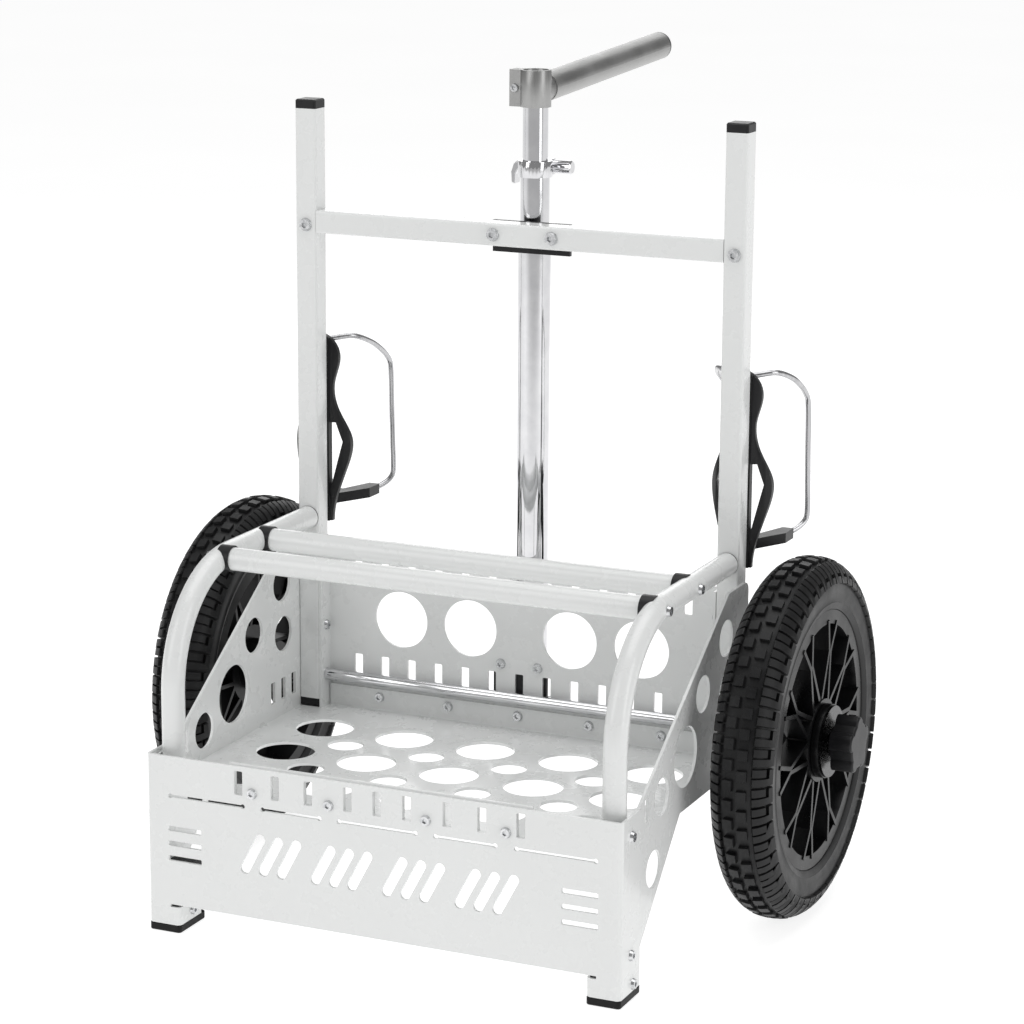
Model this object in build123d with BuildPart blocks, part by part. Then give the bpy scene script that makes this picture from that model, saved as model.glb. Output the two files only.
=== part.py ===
"""Two-wheeled game cart: a sheet-metal basket on a tube frame, with a telescopic pull pole.

Millimetres. +X is to the cart's right, +Y to the back (the side the handle points to), +Z up.
The origin is on the ground, under the centre of the whole cart.
"""
from build123d import *
import math
import os

os.makedirs("parts", exist_ok=True)

# ---------------------------------------------------------------- driving dimensions
# frame
frame_width = 424.0          # over the outer faces of the two uprights
upright_size = 20.0          # square tube of the uprights and the crossbar
tube_wall = 1.5
tube_corner = 2.0            # outer corner radius of the square tube
upright_top = 674.5          # upper end of the upright's tube
cap_height = 8.0             # plastic end caps, above and below
crossbar_top = 585.0
side_tube_d = 20.0           # bent side tubes and the two seat tubes
side_tube_z = 306.0          # centre line of the side tube's level run
side_tube_bend = 100.0       # bend radius on the centre line
side_tube_front_gap = 20.5   # front panel's face to the tube's upright run, on centre
rear_seat_y = 90.0           # seat tubes, ahead of the uprights' front faces
front_seat_y = 162.0

# basket
basket_depth = 267.5         # front panel's face to the uprights' front faces
sheet = 2.5                  # panel thickness
floor_top = 127.5
front_top = 157.0            # upper edge of the front panel
front_bottom = 25.5          # lower edge of the front panel between the feet
lip_top = 159.0              # upper edge of the floor's front flange
lip_half = 138.0             # half length of that flange
rear_lip_top = 147.5
back_top = 280.0             # upper edge of the back panel
side_top = 288.0             # upper edge of the side panels at the uprights
large_hole = 52.0
small_hole = 32.0
hole_pitch_x = 79.0          # between large holes of one row
hole_row_pitch = 37.5        # between a row of large and a row of small holes
first_row_y = 54.0           # first large row, ahead of the uprights' front faces
slot_width = 8.0
slot_height = 21.0

# feet
foot_width = 30.0
foot_depth = 42.0
foot_pad = 6.5               # rubber under the sheet edges
foot_height = 55.0
foot_screw_reach = 12.0      # under the head
slot_corner = 1.2            # corner radius of the upright slots and the louvres

# running gear
tyre_radius = 157.5
tyre_width = 54.0
tyre_section = 49.5          # rim seat to tread
wheel_track = 530.0          # between the wheels' centre planes
axle_d = 11.0
hub_length = 55.0
hub_radius = 24.0
hub_flange_radius = 32.0
knob_radius = 25.0
knob_depth = 20.0
hub_disc_radius = 36.0       # where the spokes' ribs meet the hub
spoke_count = 10             # each spoke is a pair of ribs that pinch together at its waist
spoke_waist_in = 23.5        # the waist lies this far inside the rim
spoke_phase = 4.0            # degrees, first spoke from the horizontal

# pole and handle
pole_setback = 44.5          # pole axis behind the uprights' front faces
outer_tube_d = 28.6
middle_tube_d = 25.4
inner_tube_d = 22.2
outer_tube_bottom = 131.0
outer_tube_top = 578.0
middle_tube_bottom = 205.0
middle_tube_top = 635.5
inner_tube_bottom = 270.0
head_bottom = 682.0
head_height = 32.0
head_wall = 2.4
grip_d = 25.4
grip_reach = 288.0           # pole axis to the grip's rear end
grip_z = 696.0               # grip's centre line where it meets the pole axis
grip_tilt = 3.2              # degrees, rising to the back
clamp_height = 14.0
clamp_wall = 2.4

# bottle cages
cage_bottom = 299.0
cage_height = 173.0
bottle_radius = 37.0
cage_wall = 4.2
cage_spine = 5.0             # upright's rear face to the bottle
hoop_wire = 5.0
hoop_half = 38.0             # hoop's side wires from the cage's centre
hoop_setback = 81.0          # upright's rear face to the side wires

# fits
running = 0.05               # radial clearance of a turning or sliding pair
screw_clearance = 0.1        # radial clearance of a screw in its hole
seat_gap = 0.3               # between curved faces that lie against each other
overlap = 1.0                # how far a cutting tool runs past a face

# fasteners
screw_d = 6.0
screw_head_d = 12.0
screw_head_h = 3.2
small_screw_d = 5.0
small_head_d = 9.5
small_head_h = 2.6

# ---------------------------------------------------------------- places worked out from them
total_depth = small_head_h + basket_depth + pole_setback + grip_reach
front_y = -total_depth / 2 + small_head_h
upright_front_y = front_y + basket_depth
upright_rear_y = upright_front_y + upright_size
axle_y = upright_front_y + upright_size / 2
axle_z = tyre_radius
pole_y = upright_front_y + pole_setback
upright_x = (frame_width - upright_size) / 2
frame_half = frame_width / 2
inner_half = frame_half - upright_size
panel_half = frame_half + 2 * sheet
side_tube_x = frame_half - side_tube_d / 2 - seat_gap
side_tube_front_y = front_y + side_tube_front_gap
upright_bottom = floor_top + cap_height
floor_bottom = floor_top - sheet
crossbar_z = crossbar_top - upright_size / 2
hub_inner_x = wheel_track / 2 - 24.0
hub_outer_x = hub_inner_x + hub_length
knob_inner_x = hub_outer_x + 6.0
knob_outer_x = knob_inner_x + knob_depth
rear_lip_y = upright_rear_y - 2 * sheet
screw_r = screw_d / 2 + screw_clearance
small_screw_r = small_screw_d / 2 + screw_clearance
axle_hole_r = axle_d / 2 + screw_clearance


def plane_at_y(y):
    """Plane facing the front: local x is +X, local y is +Z, normal is -Y."""
    return Plane.XZ.offset(-y)


def plane_at_x(x):
    """Plane facing +X: local x is +Y, local y is +Z."""
    return Plane.YZ.offset(x)


def seat(x, y, z, direction):
    """Seat plane of a screw head at a point, with its normal out of the head."""
    return Plane(origin=(x, y, z), z_dir=direction)


def save(builder, name):
    """Label a finished piece and write its STEP file."""
    builder.part.label = name
    export_step(builder.part, f"parts/{name}.step")


def button_screws(name, seats, shank_d, head_d, head_h, shank_length):
    """A group of equal hex-socket button screws, one on each seat plane."""
    with BuildPart() as group:
        for place in seats:
            with BuildSketch(place):
                Circle(shank_d / 2)
            extrude(amount=-shank_length)
            with BuildSketch(place):
                Circle(head_d / 2)
            extrude(amount=head_h, taper=18)
            with BuildSketch(place.offset(head_h)):
                RegularPolygon(head_d * 0.24, 6)
            extrude(amount=-head_h * 0.6, mode=Mode.SUBTRACT)
    save(group, name)


# ---------------------------------------------------------------- square-tube frame
back_screw_z = (204.0, 255.0)
cage_screw_z = (cage_bottom + 54.0, cage_bottom + 118.0)


def make_upright(side, name):
    """Upright: a square tube with its axle hole, screw holes and cage holes."""
    with BuildPart() as upright:
        with BuildSketch(Plane.XY.offset(upright_bottom)):
            with Locations((side * upright_x, axle_y)):
                RectangleRounded(upright_size, upright_size, tube_corner)
                inner = upright_size - 2 * tube_wall
                RectangleRounded(inner, inner, tube_corner - tube_wall, mode=Mode.SUBTRACT)
        extrude(amount=upright_top - upright_bottom)
        with BuildSketch(plane_at_x(side * upright_x)):
            with Locations((axle_y, axle_z)):
                Circle(axle_hole_r)
        extrude(amount=upright_size, both=True, mode=Mode.SUBTRACT)
        with BuildSketch(plane_at_x(side * (inner_half - overlap))):
            with Locations([(axle_y, z) for z in back_screw_z]):
                Circle(small_screw_r)
        extrude(amount=side * (tube_wall + 2 * overlap), mode=Mode.SUBTRACT)
        with BuildSketch(plane_at_y(upright_front_y - overlap)):
            with Locations((side * upright_x, crossbar_z - 3.0)):
                Circle(screw_r)
        extrude(amount=-(tube_wall + 2 * overlap), mode=Mode.SUBTRACT)
        with BuildSketch(plane_at_y(upright_rear_y + overlap)):
            with Locations([(side * upright_x, z) for z in cage_screw_z]):
                Circle(small_screw_r)
        extrude(amount=tube_wall + 2 * overlap, mode=Mode.SUBTRACT)
    save(upright, name)


make_upright(-1, "left_upright")
make_upright(1, "right_upright")


def make_caps(name, z_face, up):
    """Plastic end caps of both uprights, each with a plug inside the tube."""
    plug = upright_size - 2 * tube_wall - 2 * running
    with BuildPart() as caps:
        for side in (-1, 1):
            with BuildSketch(Plane.XY.offset(z_face)):
                with Locations((side * upright_x, axle_y)):
                    RectangleRounded(upright_size, upright_size, tube_corner)
            extrude(amount=up * cap_height)
            with BuildSketch(Plane.XY.offset(z_face)):
                with Locations((side * upright_x, axle_y)):
                    RectangleRounded(plug, plug, tube_corner - tube_wall + 0.1)
            extrude(amount=-up * 10.0)
        ends = caps.faces().sort_by(Axis.Z)
        outer = ends[-2:] if up > 0 else ends[:2]
        chamfer(outer.edges(), 1.2)
    save(caps, name)


make_caps("upright_top_caps", upright_top, 1)
make_caps("upright_bottom_caps", upright_bottom, -1)

bracket_screw_x = (-20.0, 35.0)
with BuildPart() as crossbar:
    with BuildSketch(plane_at_x(-inner_half)):
        with Locations((axle_y, crossbar_z)):
            RectangleRounded(upright_size, upright_size, tube_corner)
            bar_inner = upright_size - 2 * tube_wall
            RectangleRounded(bar_inner, bar_inner, tube_corner - tube_wall, mode=Mode.SUBTRACT)
    extrude(amount=2 * inner_half)
    with BuildSketch(plane_at_y(axle_y)):
        with Locations([(x, crossbar_z) for x in bracket_screw_x]):
            Circle(screw_r)
    extrude(amount=upright_size, both=True, mode=Mode.SUBTRACT)
save(crossbar, "crossbar")

frame_seats = [seat(side * upright_x, upright_front_y, crossbar_z - 3.0, (0, -1, 0)) for side in (-1, 1)]
button_screws("upright_screws", frame_seats, screw_d, screw_head_d, screw_head_h, 8.0)

# ---------------------------------------------------------------- bent side tubes and seat tubes
ring_thickness = 1.2


def seat_tube_z(distance_ahead):
    """Height of the side tube's centre line at a distance ahead of the uprights."""
    y = upright_front_y - distance_ahead
    into_bend = (side_tube_front_y + side_tube_bend) - y
    if into_bend <= 0:
        return side_tube_z
    drop = side_tube_bend - math.sqrt(side_tube_bend**2 - into_bend**2)
    return side_tube_z - drop


seat_rows = [
    ("rear_seat_tube", upright_front_y - rear_seat_y, seat_tube_z(rear_seat_y)),
    ("front_seat_tube", upright_front_y - front_seat_y, seat_tube_z(front_seat_y)),
]


def make_side_tube(side, name):
    """Side tube: level from the upright, bent down to stand on the floor's front corner."""
    x = side * side_tube_x
    tube_start = upright_front_y - ring_thickness
    with BuildPart() as tube:
        with BuildLine(plane_at_x(x)) as path:
            FilletPolyline(
                (tube_start, side_tube_z),
                (side_tube_front_y, side_tube_z),
                (side_tube_front_y, floor_top),
                radius=side_tube_bend,
            )
        with BuildSketch(Plane(origin=path.line @ 0, z_dir=path.line % 0)):
            Circle(side_tube_d / 2)
            Circle(side_tube_d / 2 - tube_wall, mode=Mode.SUBTRACT)
        sweep(path=path.line)
        with BuildSketch(plane_at_x(x)):
            with Locations([(y, z) for _, y, z in seat_rows]):
                Circle(small_screw_r)
        extrude(amount=side_tube_d, both=True, mode=Mode.SUBTRACT)
    save(tube, name)


make_side_tube(-1, "left_side_tube")
make_side_tube(1, "right_side_tube")

with BuildPart() as side_tube_rings:
    for side in (-1, 1):
        with BuildSketch(plane_at_y(upright_front_y)):
            with Locations((side * side_tube_x, side_tube_z)):
                Circle(side_tube_d / 2)
                Circle(side_tube_d / 2 - tube_wall, mode=Mode.SUBTRACT)
        extrude(amount=ring_thickness)
save(side_tube_rings, "side_tube_rings")

saddle_thickness = 2.5
seat_tube_end = side_tube_x - side_tube_d / 2 - saddle_thickness
saddle_reach = 9.0

for name, row_y, row_z in seat_rows:
    with BuildPart() as seat_tube:
        with BuildSketch(plane_at_x(-seat_tube_end)):
            with Locations((row_y, row_z)):
                Circle(side_tube_d / 2)
                Circle(side_tube_d / 2 - tube_wall, mode=Mode.SUBTRACT)
        extrude(amount=2 * seat_tube_end)
    save(seat_tube, name)

with BuildPart() as seat_tube_saddles:
    for _, row_y, row_z in seat_rows:
        for side in (-1, 1):
            start = side * (seat_tube_end - saddle_reach)
            with BuildSketch(plane_at_x(side * seat_tube_end)):
                with Locations((row_y, row_z)):
                    Circle(side_tube_d / 2 + 1.6)
            extrude(amount=side * (saddle_thickness + side_tube_d * 0.45))
            with BuildSketch(plane_at_x(start)):
                with Locations((row_y, row_z)):
                    Circle(side_tube_d / 2 - tube_wall - running)
            extrude(amount=side * saddle_reach)
    for side in (-1, 1):
        with BuildLine(plane_at_x(side * side_tube_x)) as saddle_path:
            FilletPolyline(
                (upright_front_y, side_tube_z),
                (side_tube_front_y, side_tube_z),
                (side_tube_front_y, floor_top),
                radius=side_tube_bend,
            )
        with BuildSketch(Plane(origin=saddle_path.line @ 0, z_dir=saddle_path.line % 0)):
            Circle(side_tube_d / 2 + running)
        sweep(path=saddle_path.line, mode=Mode.SUBTRACT)
    for _, row_y, row_z in seat_rows:
        with BuildSketch(Plane.YZ):
            with Locations((row_y, row_z)):
                Circle(small_screw_r)
        extrude(amount=frame_half, both=True, mode=Mode.SUBTRACT)
save(seat_tube_saddles, "seat_tube_saddles")

seat_screw_seats = []
for _, row_y, row_z in seat_rows:
    for side in (-1, 1):
        head_x = side * (side_tube_x + side_tube_d / 2)
        seat_screw_seats.append(seat(head_x, row_y, row_z, (side, 0, 0)))
button_screws("seat_tube_screws", seat_screw_seats, small_screw_d, small_head_d, small_head_h,
              side_tube_d + saddle_thickness + 4.0)

# ---------------------------------------------------------------- basket: floor
front_inner_y = front_y + sheet
lip_slot_x = (0.0, 27.0, 63.5, 94.5, 129.0)
lip_slot_z = front_top - 4.0 - slot_height / 2
lip_screw_x = (44.5, 116.0)
lip_screw_z = 135.0
rear_screw_x = (0.0, 69.0, 138.0)
rear_screw_z = 140.0
rear_lip_half = inner_half - sheet - 1.0


def both_sides(values):
    """Each value and its mirror image, without doubling zero."""
    return [s * v for v in values for s in (-1, 1) if v > 0 or s > 0]


def floor_holes():
    """Centres of the floor's staggered holes, large rows and small rows."""
    large = []
    small = []
    for row in range(3):
        y = upright_front_y - first_row_y - 2 * row * hole_row_pitch
        large += [(i * hole_pitch_x, y) for i in (-2, -1, 0, 1, 2)]
    for row in range(2):
        y = upright_front_y - first_row_y - (2 * row + 1) * hole_row_pitch
        small += [((i + 0.5) * hole_pitch_x, y) for i in (-2, -1, 0, 1)]
    return large, small


large_places, small_places = floor_holes()
with BuildPart() as floor_panel:
    with BuildSketch(Plane.XY.offset(floor_bottom)):
        with Locations((0, (front_inner_y + upright_rear_y) / 2)):
            Rectangle(2 * frame_half, upright_rear_y - front_inner_y)
    extrude(amount=sheet)
    with BuildSketch(plane_at_y(front_inner_y)):
        with Locations((0, (floor_bottom + lip_top) / 2)):
            Rectangle(2 * lip_half, lip_top - floor_bottom)
    extrude(amount=-sheet)
    with BuildSketch(plane_at_y(rear_lip_y)):
        with Locations((0, (floor_bottom + rear_lip_top) / 2)):
            Rectangle(2 * rear_lip_half, rear_lip_top - floor_bottom)
    extrude(amount=-sheet)
    bends = floor_panel.edges().filter_by(Axis.X).filter_by_position(Axis.Z, floor_top, floor_top)
    inside = [e for e in bends if front_inner_y + 1 < e.center().Y < rear_lip_y + 1]
    fillet(inside, 1.5)
    with BuildSketch(Plane.XY.offset(floor_bottom)):
        with Locations(large_places):
            Circle(large_hole / 2)
        with Locations(small_places):
            Circle(small_hole / 2)
    extrude(amount=sheet, mode=Mode.SUBTRACT)
    with BuildSketch(plane_at_y(front_inner_y)):
        with Locations([(x, lip_slot_z) for x in both_sides(lip_slot_x)]):
            RectangleRounded(slot_width, slot_height, slot_corner)
        with Locations([(x, lip_screw_z) for x in both_sides(lip_screw_x)]):
            Circle(small_screw_r)
    extrude(amount=-sheet, mode=Mode.SUBTRACT)
    with BuildSketch(plane_at_y(rear_lip_y)):
        with Locations([(x, rear_screw_z) for x in both_sides(rear_screw_x)]):
            Circle(small_screw_r)
    extrude(amount=-sheet, mode=Mode.SUBTRACT)
save(floor_panel, "floor_panel")

# ---------------------------------------------------------------- basket: front panel
fold_z = 122.5
fold_height = 2.4
fold_end_d = 4.2
fold_spans = ((-35.0, 35.0), (53.0, 106.5), (125.0, 194.5))
louvre_z = (67.0, 80.2, 93.4)
louvre_span = (165.0, 197.0)
louvre_height = 4.6
motif_pitch = 66.0
motif_z = 82.0
motif_bar = 9.0
motif_length = 40.0
motif_step = 17.0
tab_bottom = foot_pad + 0.5
tab_width = 30.0
flap_depth = 36.0            # inner side of the leg, bent back from the tab
flap_relief = (9.0, 2.5)     # slit over the tab where the flap bends
flap_screw = (22.0, 15.0)    # behind the front face, height
flange_depth = 41.0
flange_screws = ((20.5, 140.0), (22.0, 39.0), (27.0, 13.0))   # behind the front face, height
panel_bend = 4.0
flap_x = panel_half - tab_width
flap_top = front_bottom - flap_relief[1]

with BuildPart() as front_panel:
    with BuildSketch(plane_at_y(front_y)):
        with Locations((0, (front_bottom + front_top) / 2)):
            Rectangle(2 * panel_half, front_top - front_bottom)
        for side in (-1, 1):
            with Locations((side * (panel_half - tab_width / 2), (tab_bottom + front_bottom) / 2)):
                Rectangle(tab_width, front_bottom - tab_bottom)
    extrude(amount=-sheet)
    for side in (-1, 1):
        with BuildSketch(plane_at_x(side * panel_half)):
            with Locations((front_y + flange_depth / 2, (tab_bottom + front_top) / 2)):
                Rectangle(flange_depth, front_top - tab_bottom)
        extrude(amount=-side * sheet)
        with BuildSketch(plane_at_x(side * flap_x)):
            with Locations((front_y + flap_depth / 2, (tab_bottom + flap_top) / 2)):
                Rectangle(flap_depth, flap_top - tab_bottom)
        extrude(amount=side * sheet)
    with BuildSketch(plane_at_y(front_y)):
        relief_z = flap_top + flap_relief[1] / 2
        with Locations([(x, relief_z) for x in both_sides([flap_x + flap_relief[0] / 2])]):
            Rectangle(*flap_relief)
    extrude(amount=-sheet, mode=Mode.SUBTRACT)
    upright_edges = front_panel.edges().filter_by(Axis.Z)
    bend_edges = [e for e in upright_edges if abs(e.center().Y - front_y) < 0.01
                  and min(abs(abs(e.center().X) - x) for x in (panel_half, flap_x)) < 0.01]
    fillet(bend_edges, panel_bend)
    with BuildSketch(plane_at_y(front_y)):
        for low, high in fold_spans:
            for side in (-1, 1) if low > 0 else (1,):
                with Locations((side * (low + high) / 2, fold_z)):
                    Rectangle(high - low, fold_height)
                with Locations((side * low, fold_z), (side * high, fold_z)):
                    Circle(fold_end_d / 2)
        with Locations([(x, lip_slot_z) for x in both_sides(lip_slot_x)]):
            RectangleRounded(slot_width, slot_height, slot_corner)
        with Locations([(x, lip_screw_z) for x in both_sides(lip_screw_x)]):
            Circle(small_screw_r)
        louvre_x = sum(louvre_span) / 2
        with Locations([(x, z) for x in (-louvre_x, louvre_x) for z in louvre_z]):
            RectangleRounded(louvre_span[1] - louvre_span[0], louvre_height, slot_corner)
        for i in range(4):
            centre = (i - 1.5) * motif_pitch
            with Locations([(centre + k * motif_step, motif_z) for k in (-1, 0, 1)]):
                SlotOverall(motif_length, motif_bar, rotation=62)
    extrude(amount=-sheet, mode=Mode.SUBTRACT)
    for side in (-1, 1):
        with BuildSketch(plane_at_x(side * panel_half)):
            with Locations([(front_y + y, z) for y, z in flange_screws]):
                Circle(small_screw_r)
        extrude(amount=-side * sheet, mode=Mode.SUBTRACT)
        with BuildSketch(plane_at_x(side * flap_x)):
            with Locations((front_y + flap_screw[0], flap_screw[1])):
                Circle(small_screw_r)
        extrude(amount=side * sheet, mode=Mode.SUBTRACT)
save(front_panel, "front_panel")

lip_seats = [seat(x, front_y, lip_screw_z, (0, -1, 0)) for x in both_sides(lip_screw_x)]
button_screws("front_panel_screws", lip_seats, small_screw_d, small_head_d, small_head_h, 9.0)
flange_seats = [seat(side * panel_half, front_y + y, z, (side, 0, 0))
                for y, z in flange_screws for side in (-1, 1)]
button_screws("side_flange_screws", flange_seats[:2], small_screw_d, small_head_d, small_head_h, 2 * sheet)
flap_seats = [seat(side * flap_x, front_y + flap_screw[0], flap_screw[1], (-side, 0, 0)) for side in (-1, 1)]
foot_seats = flange_seats[2:] + flap_seats
button_screws("foot_screws", foot_seats, small_screw_d, small_head_d, small_head_h, foot_screw_reach)

# ---------------------------------------------------------------- basket: back panel
back_hole_x = (48.5, 117.0)
back_hole_z = 215.0
back_slot_count = 6
back_slot_pitch = 26.7
back_slot_z = (168.0, 262.0)
back_face_y = upright_rear_y - sheet
back_flange_depth = upright_size - sheet
bracket_bolt_x = 18.0
bracket_bolt_z = 186.0

with BuildPart() as back_panel:
    with BuildSketch(plane_at_y(back_face_y)):
        with Locations((0, (floor_top + back_top) / 2)):
            Rectangle(2 * inner_half, back_top - floor_top)
    extrude(amount=-sheet)
    for side in (-1, 1):
        with BuildSketch(plane_at_x(side * inner_half)):
            with Locations((upright_front_y + back_flange_depth / 2, (floor_top + back_top) / 2)):
                Rectangle(back_flange_depth, back_top - floor_top)
            with Locations((axle_y, axle_z)):
                Circle(axle_hole_r, mode=Mode.SUBTRACT)
            with Locations([(axle_y, z) for z in back_screw_z]):
                Circle(small_screw_r, mode=Mode.SUBTRACT)
        extrude(amount=-side * sheet)
    with BuildSketch(plane_at_y(back_face_y)):
        with Locations([(x, back_hole_z) for x in both_sides(back_hole_x)]):
            Circle(large_hole / 2)
        slot_x = both_sides([i * back_slot_pitch for i in range(back_slot_count + 1)])
        with Locations([(x, z) for x in slot_x for z in back_slot_z]):
            RectangleRounded(slot_width, slot_height - 1.0, slot_corner)
        with Locations([(x, rear_screw_z) for x in both_sides(rear_screw_x)]):
            Circle(small_screw_r)
        with Locations([(x, bracket_bolt_z) for x in (-bracket_bolt_x, bracket_bolt_x)]):
            Circle(small_screw_r)
    extrude(amount=-sheet, mode=Mode.SUBTRACT)
save(back_panel, "back_panel")

rear_seats = [seat(x, rear_lip_y, rear_screw_z, (0, -1, 0)) for x in both_sides(rear_screw_x)]
button_screws("floor_rear_screws", rear_seats, small_screw_d, small_head_d, small_head_h, 8.0)
back_seats = [seat(side * (inner_half - sheet), axle_y, z, (-side, 0, 0))
              for side in (-1, 1) for z in back_screw_z]
button_screws("back_panel_screws", back_seats, small_screw_d, small_head_d, small_head_h, 7.0)

# ---------------------------------------------------------------- basket: side panels
side_front_y = front_inner_y
side_rear_y = upright_rear_y
side_top_run = 48.0          # level top edge, from the upright's rear face forward
side_front_z = 152.0         # upper edge where it runs behind the front panel
gusset_rear = 135.0          # where the leg gusset meets the level lower edge
leg_rear = front_y + foot_depth
leg_notch_z = 32.0
side_small_holes = ((33.0, 250.0), (86.0, 215.0), (31.0, 203.0), (177.0, 152.0), (193.0, 95.0))
side_large_hole = (124.0, 171.0)
side_slots = ((12.5, 152.0), (32.0, 152.0), (51.5, 152.0), (209.5, 150.0))


def make_side_panel(side, name):
    """Side panel: a sloping wall over the floor that runs down into the front leg."""
    with BuildPart() as panel:
        with BuildSketch(plane_at_x(side * frame_half)):
            with BuildLine():
                Polyline(
                    (side_rear_y, floor_bottom),
                    (side_rear_y, side_top),
                    (side_rear_y - side_top_run, side_top),
                    (front_y + flange_depth, side_front_z + 4.0),
                    (side_front_y, side_front_z),
                    (side_front_y, tab_bottom),
                    (leg_rear, tab_bottom),
                    (leg_rear, leg_notch_z),
                    (upright_front_y - gusset_rear, floor_bottom),
                    close=True,
                )
            make_face()
            with Locations([(upright_front_y - y, z) for y, z in side_small_holes]):
                Circle(small_hole / 2, mode=Mode.SUBTRACT)
            with Locations((upright_front_y - side_large_hole[0], side_large_hole[1])):
                Circle(large_hole / 2, mode=Mode.SUBTRACT)
            with Locations([(upright_front_y - y, z) for y, z in side_slots]):
                RectangleRounded(slot_width, slot_height - 1.0, slot_corner, mode=Mode.SUBTRACT)
            with Locations((axle_y, axle_z)):
                Circle(axle_hole_r, mode=Mode.SUBTRACT)
            with Locations([(front_y + y, z) for y, z in flange_screws]):
                Circle(small_screw_r, mode=Mode.SUBTRACT)
        extrude(amount=side * sheet)
        corners = panel.edges().filter_by(Axis.X)
        top_corners = [e for e in corners if e.center().Z > side_top - 1]
        fillet(top_corners, 8.0)
    save(panel, name)


make_side_panel(-1, "left_side_panel")
make_side_panel(1, "right_side_panel")

# ---------------------------------------------------------------- front feet
foot_inset = 0.2             # foot block inside the sheets


def make_foot(side, name):
    """Rubber foot: a block inside the corner of the leg, with a pad under the sheet edges."""
    outer = frame_half - foot_inset
    inner = flap_x + sheet + foot_inset
    with BuildPart() as foot:
        with BuildSketch(Plane.XY):
            with Locations((side * (panel_half - foot_width / 2), front_y + (foot_depth + 2) / 2)):
                RectangleRounded(foot_width, foot_depth + 2, 3.0)
        extrude(amount=foot_pad)
        fillet(foot.faces().sort_by(Axis.Z)[0].edges(), 1.2)
        front = front_inner_y + foot_inset
        rear = front_y + foot_depth + 1.3
        with BuildSketch(Plane.XY.offset(foot_pad)):
            with Locations((side * (outer + inner) / 2, (front + rear) / 2)):
                Rectangle(outer - inner, rear - front)
        extrude(amount=foot_height - foot_pad)
        with BuildSketch(plane_at_x(side * panel_half)):
            with Locations([(front_y + y, z) for y, z in flange_screws[1:]]):
                Circle(small_screw_r)
        extrude(amount=-side * (foot_screw_reach + 1.0), mode=Mode.SUBTRACT)
        with BuildSketch(plane_at_x(side * flap_x)):
            with Locations((front_y + flap_screw[0], flap_screw[1])):
                Circle(small_screw_r)
        extrude(amount=side * (foot_screw_reach + 1.0), mode=Mode.SUBTRACT)
    save(foot, name)


make_foot(-1, "left_foot")
make_foot(1, "right_foot")

# ---------------------------------------------------------------- axle and wheels
axle_end_x = knob_outer_x - 7.0
with BuildPart() as axle_rod:
    with BuildSketch(plane_at_x(-axle_end_x)):
        with Locations((axle_y, axle_z)):
            Circle(axle_d / 2)
    extrude(amount=2 * axle_end_x)
    chamfer(axle_rod.edges().filter_by(GeomType.CIRCLE), 0.8)
save(axle_rod, "axle_rod")

spacer_r = 9.0
bush_length = 14.0
bush_r = 8.0
with BuildPart() as axle_spacers:
    for side in (-1, 1):
        with BuildSketch(plane_at_x(side * (frame_half + sheet))):
            with Locations((axle_y, axle_z)):
                Circle(spacer_r)
                Circle(axle_hole_r, mode=Mode.SUBTRACT)
        extrude(amount=side * (hub_inner_x - seat_gap - frame_half - sheet))
save(axle_spacers, "axle_spacers")

rim_outer = tyre_radius - tyre_section + 1.5
rim_inner = rim_outer - 9.0
spoke_waist = rim_inner - spoke_waist_in
rim_half = 21.0
rim_lip = 3.0
tyre_x = wheel_track / 2
rib_depth = 19.0             # along the axle
rib_thickness = 3.6
rib_hub_turn = 15.0          # degrees each side of the spoke's centre, at the hub
rib_waist_turn = 1.3
rib_rim_turn = 6.5
web_thickness = 4.0
rib_outer_x = tyre_x + rim_half + 1.0


def polar(radius, angle):
    """Point in the wheel's plane at an angle in degrees."""
    return (axle_y + radius * math.cos(math.radians(angle)), axle_z + radius * math.sin(math.radians(angle)))


def bar_between(start, end, width):
    """A straight bar in the current sketch, from one point to another."""
    length = math.dist(start, end)
    angle = math.degrees(math.atan2(end[1] - start[1], end[0] - start[0]))
    middle = ((start[0] + end[0]) / 2, (start[1] + end[1]) / 2)
    with Locations(Location((middle[0], middle[1], 0), (0, 0, angle))):
        Rectangle(length, width)


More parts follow.
